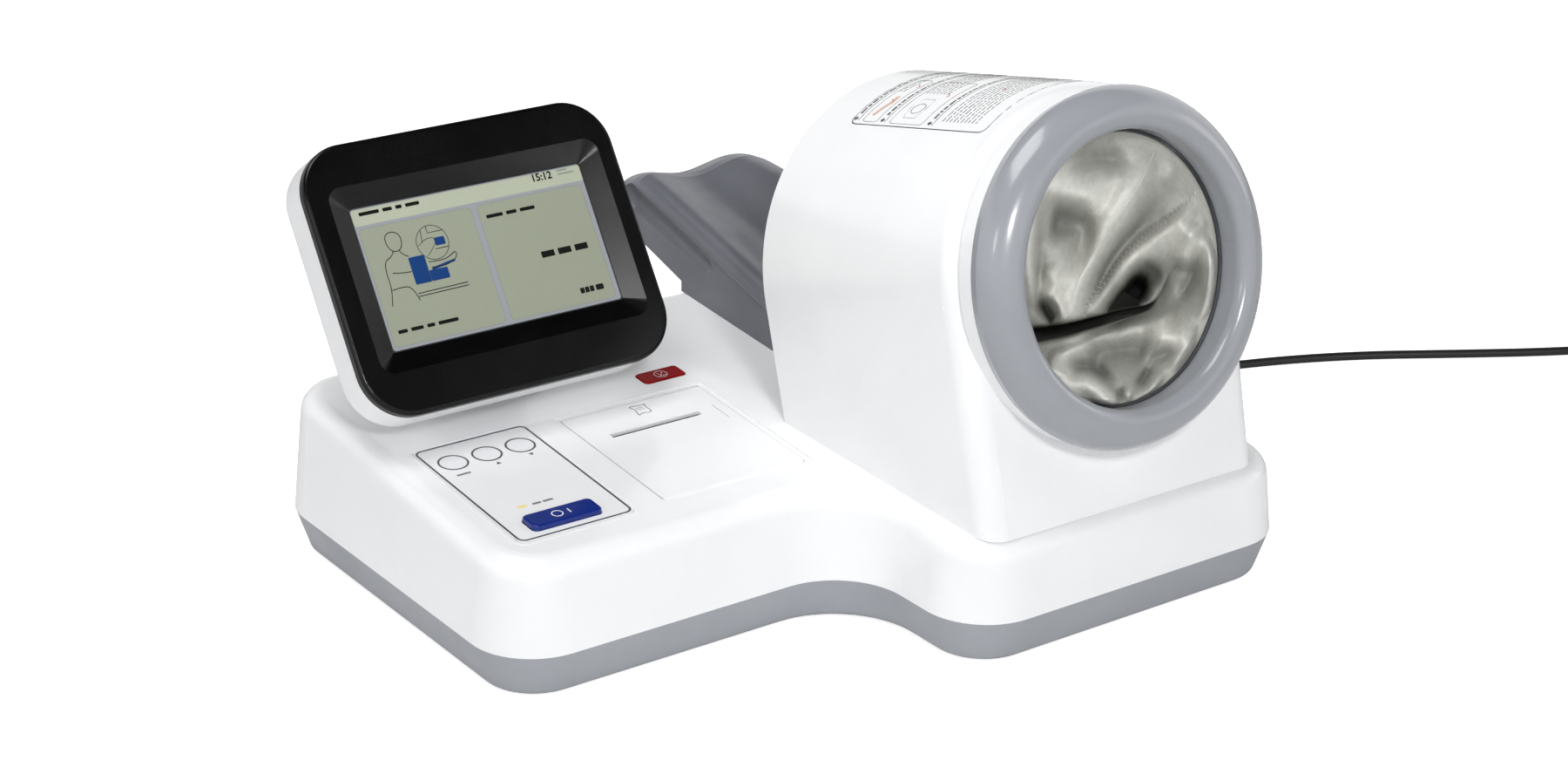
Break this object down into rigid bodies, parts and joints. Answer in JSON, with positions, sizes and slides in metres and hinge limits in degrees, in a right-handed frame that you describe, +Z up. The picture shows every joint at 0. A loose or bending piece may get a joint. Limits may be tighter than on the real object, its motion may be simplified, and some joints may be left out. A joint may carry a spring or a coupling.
{
  "type": "arm-in blood pressure monitor",
  "caption": "Table-top blood pressure monitor with an arm tunnel, tilting display, key panel, receipt printer and a trough-shaped arm rest.",
  "frame": {"origin": "below the middle of the machine, on the surface its feet stand on, without its power lead", "axes": "+X to the right of the person it serves, +Y away from that person, +Z up"},
  "size_m": [0.98, 0.5353, 0.3128],
  "materials": {
    "housing_white": "gloss",
    "key_white": "gloss",
    "tray_grey": "satin",
    "ring_grey": "gloss",
    "rest_grey": "satin",
    "moulding_black": "gloss",
    "cord_black": "matte",
    "inner_plastic": "matte",
    "cuff_cloth": "satin weave",
    "soft_rubber": "matte",
    "foot_rubber": "matte",
    "screen": "anti-glare",
    "steel": "plain",
    "metal_case": "satin",
    "start_blue": "gloss",
    "stop_red": "gloss",
    "lamp_clear": "frosted",
    "board_green": "satin",
    "component_black": "matte",
    "paper_white": "matte"
  },
  "bodies": {
    "base_unit": {"upper_housing": "housing_white", "tunnel_housing": "housing_white", "rear_panel": "housing_white", "display_neck": "housing_white", "control_panel": "housing_white", "lower_tray": "tray_grey", "entry_ring": "ring_grey", "arm_rest": "rest_grey", "rest_cover": "rest_grey", "power_switch": "moulding_black", "cord_gland": "moulding_black", "mains_plug": "moulding_black", "power_cord": "cord_black", "cord_coil": "cord_black", "cord_tail": "cord_black", "cuff_drum": "inner_plastic", "paper_well": "inner_plastic", "print_mechanism": "inner_plastic", "paper_spindle": "inner_plastic", "valve_block": "inner_plastic", "cuff_liner": "cuff_cloth", "cuff_bladder": "soft_rubber", "pump_hose": "soft_rubber", "cuff_hose": "soft_rubber", "pump_mounts": "soft_rubber", "rubber_feet": "foot_rubber", "case_screws": "steel", "deck_screws": "steel", "neck_screws": "steel", "board_screws": "steel", "hinge_pin": "steel", "hinge_washers": "steel", "paper_motor": "steel", "power_supply": "metal_case", "air_pump": "metal_case", "exhaust_valve": "metal_case", "power_light": "lamp_clear", "button_board": "board_green", "stop_board": "board_green", "main_board": "board_green", "tact_switches": "component_black", "board_components": "component_black", "print_head": "component_black"},
    "display": {"display_bezel": "moulding_black", "display_shell": "housing_white", "display_screws": "steel", "lcd_panel": "screen"},
    "start_key": {"start_button": "start_blue"},
    "stop_key": {"stop_button": "stop_red"},
    "round_key_left": {"mode_key": "key_white"},
    "round_key_middle": {"up_key": "key_white"},
    "round_key_right": {"down_key": "key_white"},
    "printer_cover": {"printer_lid": "housing_white"},
    "paper": {"paper_roll": "paper_white"},
    "platen": {"platen_roller": "soft_rubber", "platen_shaft": "steel", "platen_gear": "inner_plastic"},
    "pinion": {"motor_pinion": "steel"},
    "rocker": {"power_rocker": "moulding_black"}
  },
  "joints": [
    {"name": "display_tilt", "type": "hinge", "parent": "base_unit", "child": "display", "pos_m": [-0.1362, 0.09814, 0.14405], "axis": [1, 0, 0], "range_deg": [-20, 15]},
    {"name": "start_press", "type": "slide", "parent": "base_unit", "child": "start_key", "axis": [0, 0.0796, -0.9968], "range_m": [0, 0.0012], "stiffness_N_per_m": 600},
    {"name": "stop_press", "type": "slide", "parent": "base_unit", "child": "stop_key", "axis": [0, 0.0796, -0.9968], "range_m": [0, 0.001], "stiffness_N_per_m": 600},
    {"name": "mode_press", "type": "slide", "parent": "base_unit", "child": "round_key_left", "axis": [0, 0.0796, -0.9968], "range_m": [0, 0.0006], "stiffness_N_per_m": 600},
    {"name": "up_press", "type": "slide", "parent": "base_unit", "child": "round_key_middle", "axis": [0, 0.0796, -0.9968], "range_m": [0, 0.0006], "stiffness_N_per_m": 600},
    {"name": "down_press", "type": "slide", "parent": "base_unit", "child": "round_key_right", "axis": [0, 0.0796, -0.9968], "range_m": [0, 0.0006], "stiffness_N_per_m": 600},
    {"name": "lid_open", "type": "hinge", "parent": "base_unit", "child": "printer_cover", "pos_m": [-0.0668, 0.03903, 0.09294], "axis": [-1, 0, 0], "range_deg": [0, 60]},
    {"name": "paper_spin", "type": "hinge", "parent": "base_unit", "child": "paper", "pos_m": [-0.0682, -0.03611, 0.05534], "axis": [1, 0, 0], "continuous": true},
    {"name": "platen_spin", "type": "hinge", "parent": "base_unit", "child": "platen", "pos_m": [-0.0682, 0.00615, 0.07878], "axis": [1, 0, 0], "continuous": true},
    {"name": "pinion_spin", "type": "hinge", "parent": "base_unit", "child": "pinion", "pos_m": [-0.0682, 0.00113, 0.06529], "axis": [1, 0, 0], "continuous": true},
    {"name": "rocker_turn", "type": "hinge", "parent": "base_unit", "child": "rocker", "pos_m": [0.15, 0.16478, 0.018], "axis": [0, 0, 1], "range_deg": [0, 12]}
  ],
  "couplings": [
    {"joint": "pinion_spin", "follows": "platen_spin", "ratio": -2}
  ]
}
